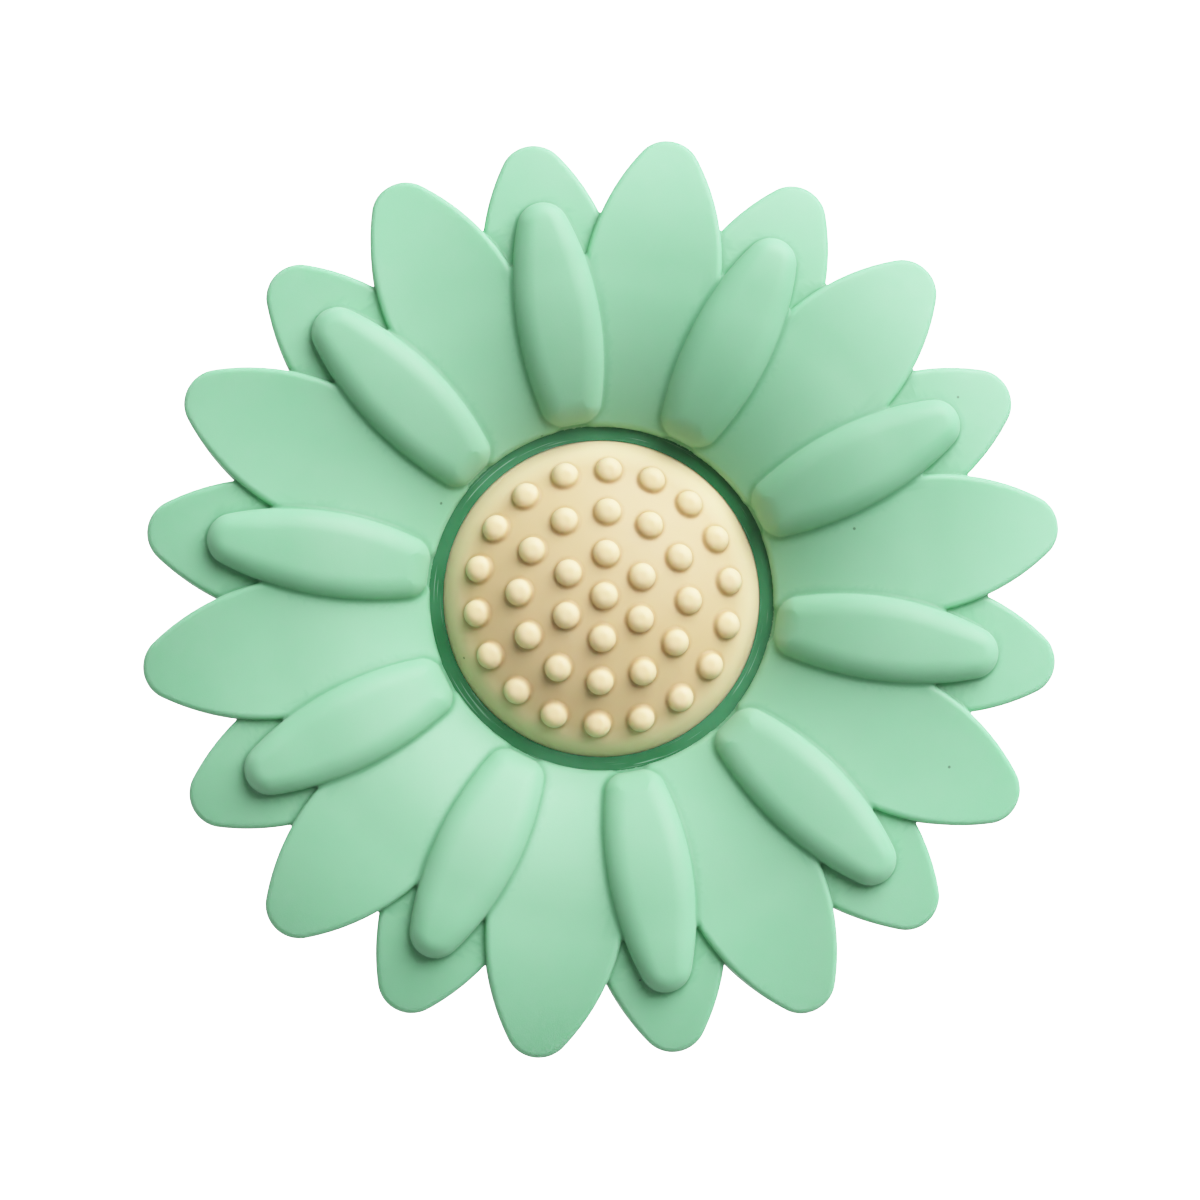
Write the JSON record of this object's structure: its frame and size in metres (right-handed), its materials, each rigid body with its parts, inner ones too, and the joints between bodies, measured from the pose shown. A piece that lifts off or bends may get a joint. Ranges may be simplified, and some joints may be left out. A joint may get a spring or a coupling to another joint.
{
  "type": "flower teether",
  "caption": "Flower-shaped soft teether with tiers of rounded petals, a see-through rattle capsule and a nubbed chewing pad in the middle.",
  "frame": {"origin": "middle of the face it rests on, under the middle of the capsule", "axes": "+Z out of the front face, along the capsule's axis; +X along a front petal and a row of nubs; +Y completes a right-handed frame"},
  "size_m": [0.109, 0.11, 0.0186],
  "materials": {
    "mint_silicone": "matte, fine grain, softly glowing at thin edges",
    "green_plastic": "glossy, see-through dark green",
    "cream_silicone": "matte, fine grain",
    "bead_plastic": "smooth moulded plastic"
  },
  "bodies": {
    "root": {"flower_body": "mint_silicone", "front_shell": "green_plastic", "rear_shell": "green_plastic", "front_pad": "cream_silicone", "rear_pad": "cream_silicone"},
    "bead_1": {"bead_1": "bead_plastic"},
    "bead_2": {"bead_2": "bead_plastic"},
    "bead_3": {"bead_3": "bead_plastic"},
    "bead_4": {"bead_4": "bead_plastic"},
    "bead_5": {"bead_5": "bead_plastic"}
  },
  "joints": [
    {"name": "bead_1_roll", "type": "hinge", "parent": "root", "child": "bead_1", "pos_m": [0, 0, 0], "axis": [0, 0, 1], "range_deg": [-26, 26]},
    {"name": "bead_2_roll", "type": "hinge", "parent": "root", "child": "bead_2", "pos_m": [0, 0, 0], "axis": [0, 0, 1], "range_deg": [-26, 26]},
    {"name": "bead_3_roll", "type": "hinge", "parent": "root", "child": "bead_3", "pos_m": [0, 0, 0], "axis": [0, 0, 1], "range_deg": [-26, 26]},
    {"name": "bead_4_roll", "type": "hinge", "parent": "root", "child": "bead_4", "pos_m": [0, 0, 0], "axis": [0, 0, 1], "range_deg": [-26, 26]},
    {"name": "bead_5_roll", "type": "hinge", "parent": "root", "child": "bead_5", "pos_m": [0, 0, 0], "axis": [0, 0, 1], "range_deg": [-26, 26]}
  ]
}
